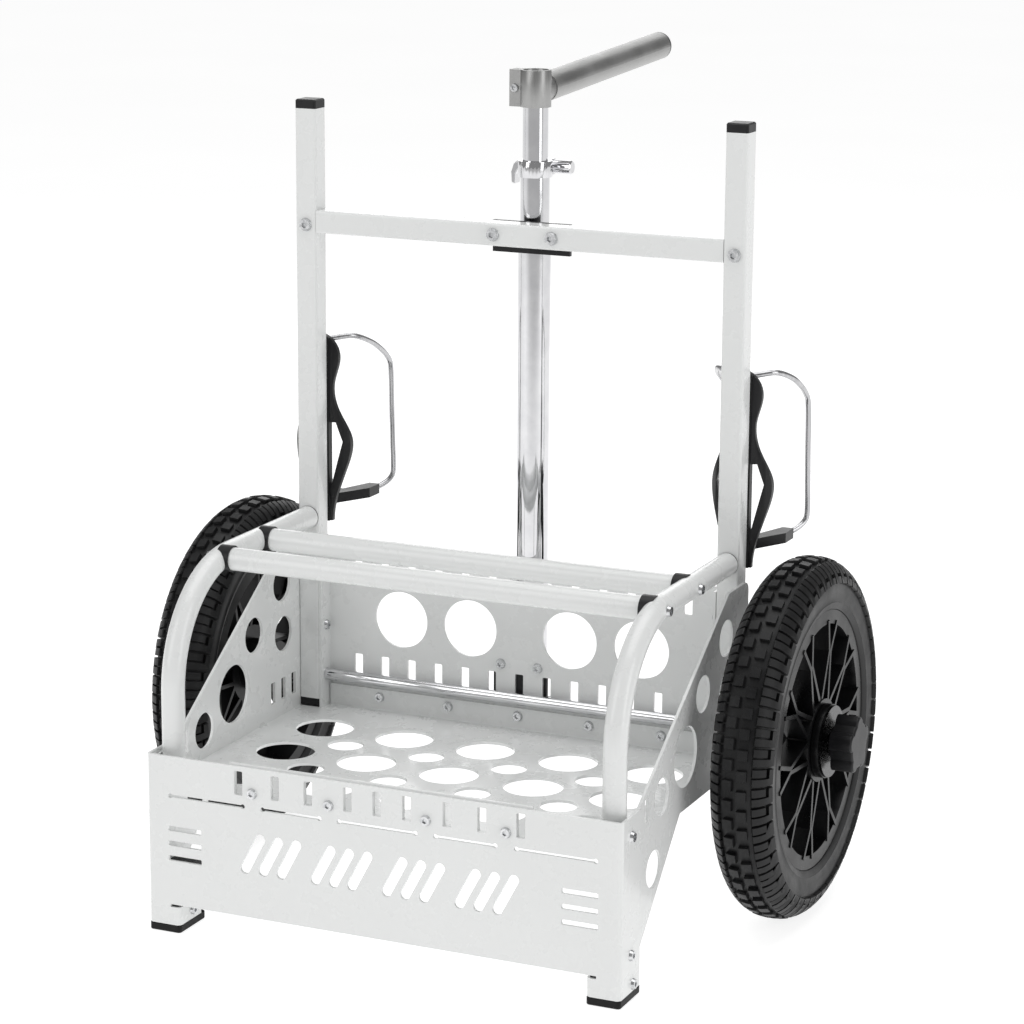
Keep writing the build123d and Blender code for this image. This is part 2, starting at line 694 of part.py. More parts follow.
def make_rim(side, name):
    """Moulded wheel: rim ring, forked spokes and hub."""
    with BuildPart() as rim:
        with BuildSketch(plane_at_x(side * (tyre_x - rim_half))):
            with Locations((axle_y, axle_z)):
                Circle(rim_outer)
                Circle(rim_inner, mode=Mode.SUBTRACT)
        extrude(amount=side * 2 * rim_half)
        for face_x in (tyre_x - rim_half, tyre_x + rim_half - rim_lip):
            with BuildSketch(plane_at_x(side * face_x)):
                with Locations((axle_y, axle_z)):
                    Circle(rim_outer + rim_lip)
                    Circle(rim_inner, mode=Mode.SUBTRACT)
            extrude(amount=side * rim_lip)
        with BuildSketch(plane_at_x(side * (rib_outer_x - rib_depth))):
            for i in range(spoke_count):
                angle = spoke_phase + i * 360 / spoke_count
                for turn in (-1, 1):
                    root = polar(hub_disc_radius - 2, angle + turn * rib_hub_turn)
                    waist = polar(spoke_waist, angle + turn * rib_waist_turn)
                    tip = polar(rim_inner + 3, angle + turn * rib_rim_turn)
                    bar_between(root, waist, rib_thickness)
                    bar_between(waist, tip, rib_thickness)
                    with Locations(waist):
                        Circle(rib_thickness / 2)
        extrude(amount=side * rib_depth)
        with BuildSketch(plane_at_x(side * (rib_outer_x - rib_depth * 0.6))):
            for i in range(spoke_count):
                angle = spoke_phase + i * 360 / spoke_count
                with BuildLine():
                    Polyline(
                        polar(hub_disc_radius - 2, angle - rib_hub_turn),
                        polar(spoke_waist, angle - rib_waist_turn),
                        polar(rim_inner + 3, angle - rib_rim_turn),
                        polar(rim_inner + 3, angle + rib_rim_turn),
                        polar(spoke_waist, angle + rib_waist_turn),
                        polar(hub_disc_radius - 2, angle + rib_hub_turn),
                        close=True,
                    )
                make_face()
        extrude(amount=side * web_thickness)
        with BuildSketch(plane_at_x(side * (rib_outer_x - rib_depth))):
            with Locations((axle_y, axle_z)):
                Circle(hub_disc_radius)
        extrude(amount=side * (rib_depth + 1.0))
        with BuildSketch(plane_at_x(side * hub_inner_x)):
            with Locations((axle_y, axle_z)):
                Circle(hub_radius)
        extrude(amount=side * (hub_length - ring_thickness))
        with BuildSketch(plane_at_x(side * (hub_outer_x - ring_thickness - 6.0))):
            with Locations((axle_y, axle_z)):
                Circle(hub_flange_radius)
        extrude(amount=side * 6.0)
        with BuildSketch(plane_at_x(side * (hub_inner_x - overlap))):
            with Locations((axle_y, axle_z)):
                Circle(axle_d / 2 + 1.0)
        extrude(amount=side * (hub_length + 2 * overlap), mode=Mode.SUBTRACT)
        for start in (hub_inner_x, hub_outer_x - bush_length):
            with BuildSketch(plane_at_x(side * start)):
                with Locations((axle_y, axle_z)):
                    Circle(bush_r)
            extrude(amount=side * bush_length, mode=Mode.SUBTRACT)
    save(rim, name)


def make_bushes(side, name):
    """The two plain bushes at the ends of a hub's bore."""
    with BuildPart() as bushes:
        for start in (hub_inner_x, hub_outer_x - bush_length):
            with BuildSketch(plane_at_x(side * start)):
                with Locations((axle_y, axle_z)):
                    Circle(bush_r)
                    Circle(axle_d / 2 + running, mode=Mode.SUBTRACT)
            extrude(amount=side * bush_length)
    save(bushes, name)


def make_hub_ring(side, name):
    """Bright cover ring on the hub's outer flange."""
    with BuildPart() as ring:
        with BuildSketch(plane_at_x(side * (hub_outer_x - ring_thickness))):
            with Locations((axle_y, axle_z)):
                Circle(hub_flange_radius - 1.0)
                Circle(bush_r, mode=Mode.SUBTRACT)
        extrude(amount=side * (ring_thickness + 1.3))
    save(ring, name)


def make_tyre(side, name):
    """Foam-filled tyre: a rounded section seated on the rim between its lips."""
    half = tyre_width / 2
    seat_half = rim_half - rim_lip
    shoulder = tyre_radius - 14.0
    crown = tyre_radius - 5.5
    with BuildPart() as tyre:
        with BuildSketch(Plane.XY.offset(axle_z)):
            with BuildLine():
                Polyline(
                    (-seat_half, rim_outer),
                    (seat_half, rim_outer),
                    (seat_half, rim_outer + rim_lip),
                    (rim_half + 1.0, rim_outer + rim_lip + 0.3),
                )
                ThreePointArc(
                    (rim_half + 1.0, rim_outer + rim_lip + 0.3),
                    (half - 1.2, rim_outer + 14.0),
                    (half, shoulder - 6.0),
                )
                ThreePointArc((half, shoulder - 6.0), (half - 2.5, shoulder + 3.0), (half - 7.0, crown))
                ThreePointArc((half - 7.0, crown), (0, tyre_radius), (7.0 - half, crown))
                ThreePointArc((7.0 - half, crown), (2.5 - half, shoulder + 3.0), (-half, shoulder - 6.0))
                ThreePointArc(
                    (-half, shoulder - 6.0),
                    (1.2 - half, rim_outer + 14.0),
                    (-rim_half - 1.0, rim_outer + rim_lip + 0.3),
                )
                Polyline(
                    (-rim_half - 1.0, rim_outer + rim_lip + 0.3),
                    (-seat_half, rim_outer + rim_lip),
                    (-seat_half, rim_outer),
                )
            make_face()
        revolve(axis=Axis((0, 0, axle_z), (1, 0, 0)))
    tyre.part.locate(Location((side * tyre_x, axle_y, 0)))
    save(tyre, name)


def make_knob(side, name):
    """Lobed knob on the axle's end: a neck, a five-lobed head and a blind bore."""
    with BuildPart() as knob:
        with BuildSketch(plane_at_x(side * (knob_inner_x - 4.0))):
            with Locations((axle_y, axle_z)):
                Circle(13.0)
        extrude(amount=side * 8.0)
        with BuildSketch(plane_at_x(side * knob_inner_x)):
            with Locations((axle_y, axle_z)):
                Circle(knob_radius - 5.0)
            for i in range(5):
                with Locations(polar(knob_radius - 8.0, 18 + 72 * i)):
                    Circle(8.0)
        extrude(amount=side * knob_depth)
        outer_rim = knob.faces().sort_by(Axis.X)[-1 if side > 0 else 0].edges()
        fillet(outer_rim, 2.0)
        with BuildSketch(plane_at_x(side * (knob_inner_x - 4.0))):
            with Locations((axle_y, axle_z)):
                Circle(axle_d / 2 + running)
        extrude(amount=side * (axle_end_x - knob_inner_x + 4.0 + 0.5), mode=Mode.SUBTRACT)
    save(knob, name)


for side, hand in ((-1, "left"), (1, "right")):
    make_rim(side, f"{hand}_rim")
    make_bushes(side, f"{hand}_hub_bushes")
    make_hub_ring(side, f"{hand}_hub_ring")
    make_tyre(side, f"{hand}_tyre")
    make_knob(side, f"{hand}_knob")

# ---------------------------------------------------------------- telescopic pole
outer_bore = middle_tube_d / 2 + running
middle_bore = inner_tube_d / 2 + running
inner_bore = inner_tube_d / 2 - tube_wall
slit = 1.6
slit_depth = 26.0


def make_pole_tube(name, outer_r, bore_r, bottom, top, slit_at_top):
    """One stage of the pole, slit at the back of its mouth where a clamp closes it."""
    with BuildPart() as tube:
        with BuildSketch(Plane.XY.offset(bottom)):
            with Locations((0, pole_y)):
                Circle(outer_r)
                Circle(bore_r, mode=Mode.SUBTRACT)
        extrude(amount=top - bottom)
        if slit_at_top:
            with BuildSketch(Plane.XY.offset(top - slit_depth)):
                with Locations((0, pole_y + outer_r)):
                    Rectangle(slit, 2 * (outer_r - bore_r) + 2)
            extrude(amount=slit_depth, mode=Mode.SUBTRACT)
    save(tube, name)


make_pole_tube("pole_outer_tube", outer_tube_d / 2, outer_bore, outer_tube_bottom, outer_tube_top, True)
make_pole_tube("pole_middle_tube", middle_tube_d / 2, middle_bore, middle_tube_bottom, middle_tube_top, True)
make_pole_tube("pole_inner_tube", inner_tube_d / 2, inner_bore, inner_tube_bottom,
               head_bottom + head_height - 2.0, False)

guide_length = 9.0
guide_spigot = 22.0
with BuildPart() as pole_guide:
    with BuildSketch(Plane.XY.offset(inner_tube_bottom - guide_length - seat_gap)):
        with Locations((0, pole_y)):
            Circle(middle_bore - running)
    extrude(amount=guide_length)
    with BuildSketch(Plane.XY.offset(inner_tube_bottom - seat_gap)):
        with Locations((0, pole_y)):
            Circle(inner_bore - running)
    extrude(amount=guide_spigot)
save(pole_guide, "pole_guide")

bracket_plate = 4.0
bracket_low = crossbar_top - upright_size - 7.5
bracket_shelf = 5.5
bracket_rear = pole_y + outer_tube_d / 2 + 4.0
with BuildPart() as pole_bracket:
    with BuildSketch(plane_at_y(upright_rear_y)):
        with Locations((sum(bracket_screw_x) / 2, (bracket_low + crossbar_top) / 2)):
            Rectangle(bracket_screw_x[1] - bracket_screw_x[0] + 18.0, crossbar_top - bracket_low)
        with Locations([(x, crossbar_z) for x in bracket_screw_x]):
            Circle(screw_r, mode=Mode.SUBTRACT)
    extrude(amount=-bracket_plate)
    with BuildSketch(Plane.XY.offset(bracket_low)):
        with Locations((0, (upright_rear_y + bracket_rear) / 2)):
            RectangleRounded(outer_tube_d + 9.0, bracket_rear - upright_rear_y, 3.0)
        with Locations((0, pole_y)):
            Circle(outer_tube_d / 2, mode=Mode.SUBTRACT)
    extrude(amount=bracket_shelf)
save(pole_bracket, "pole_bracket")
bar_seats = [seat(x, upright_front_y, crossbar_z, (0, -1, 0)) for x in bracket_screw_x]
button_screws("pole_bracket_screws", bar_seats, screw_d, screw_head_d, screw_head_h,
              upright_size + bracket_plate + 2.0)

foot_bracket_low = floor_bottom
foot_bracket_top = bracket_bolt_z + 10.0
foot_socket_top = outer_tube_bottom + 16.0
with BuildPart() as pole_foot_bracket:
    with BuildSketch(plane_at_y(upright_rear_y)):
        with Locations((0, (foot_bracket_low + foot_bracket_top) / 2)):
            Rectangle(52.0, foot_bracket_top - foot_bracket_low)
        with Locations([(x, bracket_bolt_z) for x in (-bracket_bolt_x, bracket_bolt_x)]):
            Circle(small_screw_r, mode=Mode.SUBTRACT)
        with Locations((0, rear_screw_z)):
            Circle(small_screw_r + 1.5, mode=Mode.SUBTRACT)
    extrude(amount=-3.0)
    with BuildSketch(Plane.XY.offset(foot_bracket_low)):
        with Locations((0, (upright_rear_y + 3.0 + bracket_rear) / 2)):
            RectangleRounded(outer_tube_d + 10.0, bracket_rear - upright_rear_y - 3.0, 3.0)
    extrude(amount=foot_socket_top - foot_bracket_low)
    with BuildSketch(Plane.XY.offset(outer_tube_bottom)):
        with Locations((0, pole_y)):
            Circle(outer_tube_d / 2)
    extrude(amount=foot_socket_top - outer_tube_bottom + overlap, mode=Mode.SUBTRACT)
    with BuildSketch(plane_at_y(upright_rear_y)):
        with Locations((0, rear_screw_z)):
            Circle(small_screw_r + 1.5)
    extrude(amount=-7.0, mode=Mode.SUBTRACT)
save(pole_foot_bracket, "pole_foot_bracket")
foot_bolt_seats = [seat(x, back_face_y, bracket_bolt_z, (0, -1, 0)) for x in both_sides([bracket_bolt_x])]
button_screws("pole_foot_screws", foot_bolt_seats, small_screw_d, small_head_d, small_head_h, 9.0)

# ---------------------------------------------------------------- quick-release clamps
ear_length = 13.0
ear_half = 9.0
clamp_bolt_d = 5.0
nut_d = 12.0
nut_length = 18.0
barrel_d = 11.0              # the lever's cam barrel, on a pin along Y
barrel_width = 12.0
pivot_d = 4.0
pivot_x = -ear_half - barrel_d / 2 - 0.5
fork_gap = 5.4               # between the lever's two cheeks


def make_clamp(prefix, tube_d, bolt_z):
    """Split collar with two ears, its cross bolt with barrel nut, and the cam lever."""
    bolt_y = pole_y + tube_d / 2 + 6.5
    with BuildPart() as collar:
        with BuildSketch(Plane.XY.offset(bolt_z - clamp_height / 2)):
            with Locations((0, pole_y)):
                Circle(tube_d / 2 + clamp_wall)
            with Locations((0, pole_y + tube_d / 2 + ear_length / 2 - 1.0)):
                RectangleRounded(2 * ear_half, ear_length, 2.0)
            with Locations((0, pole_y)):
                Circle(tube_d / 2, mode=Mode.SUBTRACT)
            with Locations((0, pole_y + tube_d / 2 + ear_length / 2)):
                Rectangle(slit, ear_length + 4.0, mode=Mode.SUBTRACT)
        extrude(amount=clamp_height)
        with BuildSketch(Plane.YZ):
            with Locations((bolt_y, bolt_z)):
                Circle(clamp_bolt_d / 2 + screw_clearance)
        extrude(amount=2 * ear_half, both=True, mode=Mode.SUBTRACT)
    save(collar, f"{prefix}_clamp_collar")

    with BuildPart() as bolt:
        with BuildSketch(plane_at_x(pivot_x)):
            with Locations((bolt_y, bolt_z)):
                Circle(clamp_bolt_d / 2)
        extrude(amount=ear_half + nut_length - 2.0 - pivot_x)
        with BuildSketch(plane_at_x(ear_half)):
            with Locations((bolt_y, bolt_z)):
                Circle(nut_d / 2)
        extrude(amount=nut_length)
        chamfer(bolt.faces().sort_by(Axis.X)[-1].edges(), 1.0)
        with BuildSketch(plane_at_y(bolt_y)):
            with Locations((pivot_x, bolt_z)):
                Circle(4.0)
        extrude(amount=clamp_bolt_d / 2, both=True)
        with BuildSketch(plane_at_y(bolt_y)):
            with Locations((pivot_x, bolt_z)):
                Circle(pivot_d / 2)
        extrude(amount=barrel_width / 2, both=True)
    save(bolt, f"{prefix}_clamp_bolt")

    with BuildPart() as lever:
        with BuildSketch(plane_at_y(bolt_y)):
            with BuildLine():
                Polyline(
                    (pivot_x, bolt_z + barrel_d / 2),
                    (pivot_x - 6.0, bolt_z + barrel_d / 2),
                    (pivot_x - 11.5, bolt_z + 1.5),
                    (pivot_x - 14.0, bolt_z - 6.0),
                    (pivot_x - 13.5, bolt_z - 15.5),
                    (pivot_x - 10.5, bolt_z - 16.5),
                    (pivot_x - 10.0, bolt_z - 8.0),
                    (pivot_x - 7.5, bolt_z - 3.5),
                    (pivot_x, bolt_z - barrel_d / 2),
                    close=True,
                )
            make_face()
            with Locations((pivot_x, bolt_z)):
                Circle(barrel_d / 2)
                Circle(pivot_d / 2 + running, mode=Mode.SUBTRACT)
        extrude(amount=barrel_width / 2, both=True)
        with BuildSketch(plane_at_y(bolt_y)):
            with Locations((pivot_x + barrel_d / 2, bolt_z)):
                Rectangle(2 * barrel_d - 1.0, 4 * barrel_d)
        extrude(amount=fork_gap / 2, both=True, mode=Mode.SUBTRACT)
    save(lever, f"{prefix}_clamp_lever")


make_clamp("upper", middle_tube_d, middle_tube_top - clamp_height / 2)
make_clamp("lower", outer_tube_d, outer_tube_top - clamp_height / 2)

# ---------------------------------------------------------------- handle
head_r = inner_tube_d / 2 + head_wall
head_top = head_bottom + head_height
head_mid = head_bottom + head_height / 2
ear_x = 22.0
grip_axis = (0, math.cos(math.radians(grip_tilt)), math.sin(math.radians(grip_tilt)))
plug_flange = 2.0
grip_length = (grip_reach - grip_d / 2 * math.sin(math.radians(grip_tilt))) / grip_axis[1]
grip_start = head_r + 5.0
grip_wall = 2.0


def along_grip(distance):
    """Plane across the grip at a distance from the pole's axis."""
    origin = (0, pole_y + distance * grip_axis[1], grip_z + distance * grip_axis[2])
    return Plane(origin=origin, x_dir=(1, 0, 0), z_dir=grip_axis)


with BuildPart() as handle_head:
    with BuildSketch(Plane.XY.offset(head_bottom)):
        with Locations((0, pole_y)):
            Circle(head_r)
        with Locations((-ear_x / 2, pole_y)):
            Rectangle(ear_x, 14.0)
    extrude(amount=head_height)
    with BuildSketch(along_grip(0)):
        Circle(grip_d / 2 - 0.5)
    extrude(amount=grip_start)
    with BuildSketch(Plane.YZ):
        with BuildLine():
            Polyline(
                (pole_y, head_bottom),
                (pole_y + head_r + 1.0, head_bottom),
                (pole_y + grip_start + 1.5, grip_z - grip_d / 2 + 1.5),
                (pole_y + grip_start + 1.5, grip_z),
                (pole_y, grip_z),
                close=True,
            )
        make_face()
    extrude(amount=4.0, both=True)
    with BuildSketch(along_grip(grip_start)):
        Circle(grip_d / 2 - grip_wall - running)
    extrude(amount=18.0)
    with BuildSketch(Plane.XY.offset(head_bottom - overlap)):
        with Locations((0, pole_y)):
            Circle(inner_tube_d / 2)
    extrude(amount=head_height + 2 * overlap, mode=Mode.SUBTRACT)
    with BuildSketch(Plane.XY.offset(head_bottom - overlap)):
        with Locations((-ear_x, pole_y)):
            Rectangle(2 * (ear_x - inner_tube_d / 2) + 2, slit)
    extrude(amount=head_height + 2 * overlap, mode=Mode.SUBTRACT)
    with BuildSketch(plane_at_y(pole_y)):
        with Locations((-17.0, head_mid)):
            Circle(small_screw_r)
    extrude(amount=12.0, both=True, mode=Mode.SUBTRACT)
save(handle_head, "handle_head")
button_screws("head_screw", [seat(-17.0, pole_y - 7.0, head_mid, (0, -1, 0))],
              small_screw_d, 8.0, 2.2, 13.0)

with BuildPart() as handle_grip:
    with BuildSketch(along_grip(grip_start)):
        Circle(grip_d / 2)
        Circle(grip_d / 2 - grip_wall, mode=Mode.SUBTRACT)
    extrude(amount=grip_length - grip_start - plug_flange)
    with BuildSketch(Plane.YZ):
        with BuildLine():
            Polyline(
                (pole_y, head_bottom - 4.0),
                (pole_y + grip_start + 2.0, head_bottom - 4.0),
                (pole_y + grip_start + 2.0, grip_z),
                (pole_y, grip_z),
                close=True,
            )
        make_face()
    extrude(amount=4.2, both=True, mode=Mode.SUBTRACT)
save(handle_grip, "handle_grip")

with BuildPart() as grip_plug:
    with BuildSketch(along_grip(grip_length - plug_flange)):
        Circle(grip_d / 2)
    extrude(amount=plug_flange)
    with BuildSketch(along_grip(grip_length - plug_flange)):
        Circle(grip_d / 2 - grip_wall - running)
    extrude(amount=-12.0)
save(grip_plug, "grip_plug")

# ---------------------------------------------------------------- bottle cages
bottle_y = upright_rear_y + cage_spine + bottle_radius
cage_head_d = 8.0
cage_head_h = 2.2
spine_half = 11.0
hoop_y = upright_rear_y + hoop_setback
hoop_top = cage_bottom + cage_height + hoop_wire / 2 + seat_gap
hoop_low = cage_bottom + 27.0
ledge_z = cage_bottom + 14.0
ledge_tip_y = upright_rear_y + 66.0
ledge_tip_half = 24.0
ledge_height = 9.0


def right_outline():
    """Right edge of the cage's back, seen from behind: shoulder, waist, grip and foot."""
    top = cage_bottom + cage_height
    return [
        (0, top),
        (9.0, top - 3.0),
        (18.5, top - 22.0),
        (14.0, top - 46.0),
        (17.0, top - 70.0),
        (27.0, top - 98.0),
        (22.0, top - 130.0),
        (16.0, cage_bottom + 22.0),
        (13.0, cage_bottom),
    ]


def make_cage_body(side, name):
    """Moulded bottle cage: a spine, curved wings with an opening, and a ledge."""
    x = side * upright_x
    points = right_outline()
    left_points = [(-px, pz) for px, pz in reversed(points[1:])]
    with BuildPart() as body:
        with BuildSketch(plane_at_y(upright_rear_y)):
            with BuildLine():
                Spline([(x + px, pz) for px, pz in left_points + points])
                Line((x + points[-1][0], points[-1][1]), (x - points[-1][0], points[-1][1]))
            make_face()
            for turn in (-1, 1):
                with BuildLine():
                    upper = cage_bottom + cage_height - 82.0
                    lower = cage_bottom + 34.0
                    Polyline(
                        (x + turn * 11.0, upper),
                        (x + turn * 16.0, upper),
                        (x + turn * 21.5, upper - 18.0),
                        (x + turn * 12.5, lower),
                        (x + turn * 11.0, lower),
                        close=True,
                    )
                make_face(mode=Mode.SUBTRACT)
        extrude(amount=-(cage_spine + bottle_radius * 0.72))
        with BuildSketch(Plane.XY.offset(cage_bottom)):
            with Locations((x, bottle_y)):
                Circle(bottle_radius + cage_wall)
                Circle(bottle_radius, mode=Mode.SUBTRACT)
            with Locations((x, upright_rear_y + cage_spine / 2 + 1.0)):
                Rectangle(2 * spine_half, cage_spine + 2.0)
            with Locations((x, bottle_y)):
                Circle(bottle_radius, mode=Mode.SUBTRACT)
        extrude(amount=cage_height, mode=Mode.INTERSECT)
        with BuildSketch(Plane.XY.offset(ledge_z)):
            with BuildLine():
                Polyline(
                    (x - 12.0, upright_rear_y),
                    (x + 12.0, upright_rear_y),
                    (x + 12.0, upright_rear_y + 14.0),
                    (x + ledge_tip_half + 5.0, ledge_tip_y - 20.0),
                    (x + ledge_tip_half + 5.0, ledge_tip_y),
                    (x + ledge_tip_half - 5.0, ledge_tip_y),
                    (x + 8.0, upright_rear_y + 34.0),
                    (x - 8.0, upright_rear_y + 34.0),
                    (x - ledge_tip_half + 5.0, ledge_tip_y),
                    (x - ledge_tip_half - 5.0, ledge_tip_y),
                    (x - ledge_tip_half - 5.0, ledge_tip_y - 20.0),
                    (x - 12.0, upright_rear_y + 14.0),
                    close=True,
                )
            make_face()
        extrude(amount=ledge_height)
        with BuildSketch(plane_at_x(x)):
            with BuildLine():
                Polyline(
                    (upright_rear_y, cage_bottom),
                    (upright_rear_y + 6.0, cage_bottom),
                    (upright_rear_y + 32.0, ledge_z + 1.0),
                    (upright_rear_y, ledge_z + 1.0),
                    close=True,
                )
            make_face()
        extrude(amount=6.0, both=True)
        with BuildSketch(plane_at_y(upright_rear_y)):
            with Locations([(x, z) for z in cage_screw_z]):
                Circle(small_screw_r)
        extrude(amount=-(cage_spine + 6.0), mode=Mode.SUBTRACT)
        with BuildSketch(plane_at_y(upright_rear_y + cage_spine)):
            with Locations([(x, z) for z in cage_screw_z]):
                Circle(cage_head_d / 2 + 0.4)
        extrude(amount=-6.0, mode=Mode.SUBTRACT)
    save(body, name)


def make_hoop(side, name):
    """Wire hoop: up from one ledge tip, round behind the shoulder and down to the other."""
    x = side * upright_x
    corner_y = upright_rear_y + hoop_wire / 2 + seat_gap
    tip_z = ledge_z + ledge_height / 2
    points = [
        (x - ledge_tip_half, ledge_tip_y - 8.0, tip_z),
        (x - hoop_half, hoop_y, hoop_low),
        (x - hoop_half, hoop_y, hoop_top),
        (x - hoop_half, corner_y, hoop_top),
        (x + hoop_half, corner_y, hoop_top),
        (x + hoop_half, hoop_y, hoop_top),
        (x + hoop_half, hoop_y, hoop_low),
        (x + ledge_tip_half, ledge_tip_y - 8.0, tip_z),
    ]
    with BuildPart() as hoop:
        with BuildLine() as path:
            FilletPolyline(*points, radius=[9.0, 31.0, 36.0, 36.0, 31.0, 9.0])
        with BuildSketch(Plane(origin=path.line @ 0, z_dir=path.line % 0)):
            Circle(hoop_wire / 2)
        sweep(path=path.line)
    save(hoop, name)


for side, hand in ((-1, "left"), (1, "right")):
    make_cage_body(side, f"{hand}_cage_body")
    make_hoop(side, f"{hand}_cage_hoop")
cage_seats = [seat(side * upright_x, upright_rear_y + cage_spine, z, (0, 1, 0))
              for side in (-1, 1) for z in cage_screw_z]
button_screws("cage_screws", cage_seats, small_screw_d, cage_head_d, cage_head_h, 10.0)
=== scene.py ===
"""Looks of the game cart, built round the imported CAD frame. Metres, same frame as the CAD."""

import math

import bmesh
import bpy
from mathutils import Matrix, Vector


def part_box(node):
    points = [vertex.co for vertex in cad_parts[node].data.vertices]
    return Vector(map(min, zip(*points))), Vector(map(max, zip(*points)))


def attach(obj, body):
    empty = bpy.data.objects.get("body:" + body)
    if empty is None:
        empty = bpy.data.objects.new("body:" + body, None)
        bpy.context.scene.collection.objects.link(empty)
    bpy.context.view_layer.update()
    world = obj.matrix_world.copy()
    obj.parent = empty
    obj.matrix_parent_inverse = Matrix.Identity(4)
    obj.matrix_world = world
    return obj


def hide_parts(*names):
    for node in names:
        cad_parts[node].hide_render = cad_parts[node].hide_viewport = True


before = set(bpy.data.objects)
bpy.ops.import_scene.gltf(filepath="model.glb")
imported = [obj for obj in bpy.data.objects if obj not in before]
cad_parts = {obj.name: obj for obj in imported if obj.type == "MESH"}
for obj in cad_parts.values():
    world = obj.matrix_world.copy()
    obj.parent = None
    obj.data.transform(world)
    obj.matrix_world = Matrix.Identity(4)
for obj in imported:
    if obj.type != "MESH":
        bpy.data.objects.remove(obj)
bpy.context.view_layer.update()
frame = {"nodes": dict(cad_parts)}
nodes = frame["nodes"]
scene = bpy.context.scene


# ---------------------------------------------------------------- materials
def new_material(name, colour, roughness, metallic=0.0, coat=0.0, coat_roughness=0.03, specular=0.5):
    """A principled material with its constant values on the shader's own sockets."""
    mat = bpy.data.materials.new(name)
    mat.use_nodes = True
    shader = mat.node_tree.nodes["Principled BSDF"]
    shader.inputs["Base Color"].default_value = (*colour, 1.0)
    shader.inputs["Roughness"].default_value = roughness
    shader.inputs["Metallic"].default_value = metallic
    shader.inputs["Coat Weight"].default_value = coat
    shader.inputs["Coat Roughness"].default_value = coat_roughness
    shader.inputs["Specular IOR Level"].default_value = specular
    return mat, shader


def add(mat, kind, **values):
    """A node of that kind, with its input sockets or properties set."""
    node = mat.node_tree.nodes.new(kind)
    for key, value in values.items():
        if key in node.inputs:
            node.inputs[key].default_value = value
        else:
            setattr(node, key, value)
    return node


def link(mat, a, a_out, b, b_in):
    """A link from one node's output to another's input."""
    mat.node_tree.links.new(a.outputs[a_out], b.inputs[b_in])


def place(mat):
    """The surface's own coordinates, in metres."""
    return add(mat, "ShaderNodeTexCoord")


def noise(mat, coord, scale, detail, roughness, stretch=None):
    """Noise in object space, stretched along an axis if asked."""
    tex = add(mat, "ShaderNodeTexNoise", Scale=scale, Detail=detail, Roughness=roughness)
    if stretch:
        mapping = add(mat, "ShaderNodeMapping")
        mapping.inputs["Scale"].default_value = stretch
        link(mat, coord, "Object", mapping, "Vector")
        link(mat, mapping, "Vector", tex, "Vector")
    else:
        link(mat, coord, "Object", tex, "Vector")
    return tex


def ramp_to(mat, source, out, target, socket, low, high, at=(0.3, 0.7)):
    """A number that follows a texture between two values."""
    ramp = add(mat, "ShaderNodeMapRange")
    ramp.inputs["From Min"].default_value = at[0]
    ramp.inputs["From Max"].default_value = at[1]
    ramp.inputs["To Min"].default_value = low
    ramp.inputs["To Max"].default_value = high
    link(mat, source, out, ramp, "Value")
    link(mat, ramp, "Result", target, socket)


COLOUR_RANGE = (0.35, 0.65)      # part of a noise's range over which a colour changes


def colour_between(mat, source, shader, low, high):
    """The base colour follows a texture between two colours."""
    ramp = add(mat, "ShaderNodeValToRGB")
    ramp.color_ramp.elements[0].position = COLOUR_RANGE[0]
    ramp.color_ramp.elements[0].color = (*low, 1.0)
    ramp.color_ramp.elements[1].position = COLOUR_RANGE[1]
    ramp.color_ramp.elements[1].color = (*high, 1.0)
    link(mat, source, "Fac", ramp, "Fac")
    link(mat, ramp, "Color", shader, "Base Color")


def bump(mat, heights, shader, strength):
    """Bump from a list of (noise, depth in metres), chained one into the next."""
    last = None
    for tex, depth in heights:
        node = add(mat, "ShaderNodeBump", Strength=strength, Distance=depth)
        link(mat, tex, "Fac", node, "Height")
        if last:
            link(mat, last, "Normal", node, "Normal")
        last = node
    link(mat, last, "Normal", shader, "Normal")


def powder_coat():
    """White gloss powder coat: a slight orange peel and faint handling marks."""
    mat, shader = new_material("white_powder_coat", (0.79, 0.80, 0.795), 0.27, coat=0.35, coat_roughness=0.08)
    coord = place(mat)
    cloud = noise(mat, coord, 9.0, 4.0, 0.6)
    peel = noise(mat, coord, 620.0, 2.0, 0.45)
    colour_between(mat, cloud, shader, (0.782, 0.792, 0.786), (0.798, 0.808, 0.802))
    smudge = noise(mat, coord, 34.0, 6.0, 0.62)
    ramp_to(mat, smudge, "Fac", shader, "Roughness", 0.26, 0.29)
    bump(mat, [(peel, 0.00006)], shader, 0.55)
    return mat


def chrome(name, along):
    """Polished chrome with the faintest draw lines, which run along the tube, and dust."""
    mat, shader = new_material(name, (0.66, 0.66, 0.675), 0.06, metallic=1.0)
    coord = place(mat)
    lines = noise(mat, coord, 260.0, 3.0, 0.5, along)
    dust = noise(mat, coord, 46.0, 5.0, 0.6)
    ramp_to(mat, dust, "Fac", shader, "Roughness", 0.045, 0.11)
    colour_between(mat, dust, shader, (0.62, 0.62, 0.635), (0.70, 0.70, 0.71))
    bump(mat, [(lines, 0.00001)], shader, 0.4)
    return mat


def zinc(name, dark, light):
    """Plated steel on the fasteners: slightly cloudy and brushed."""
    mat, shader = new_material(name, light, 0.25, metallic=1.0)
    coord = place(mat)
    cloud = noise(mat, coord, 320.0, 4.0, 0.6)
    colour_between(mat, cloud, shader, dark, light)
    ramp_to(mat, cloud, "Fac", shader, "Roughness", 0.17, 0.34)
    bump(mat, [(cloud, 0.00004)], shader, 0.4)
    return mat


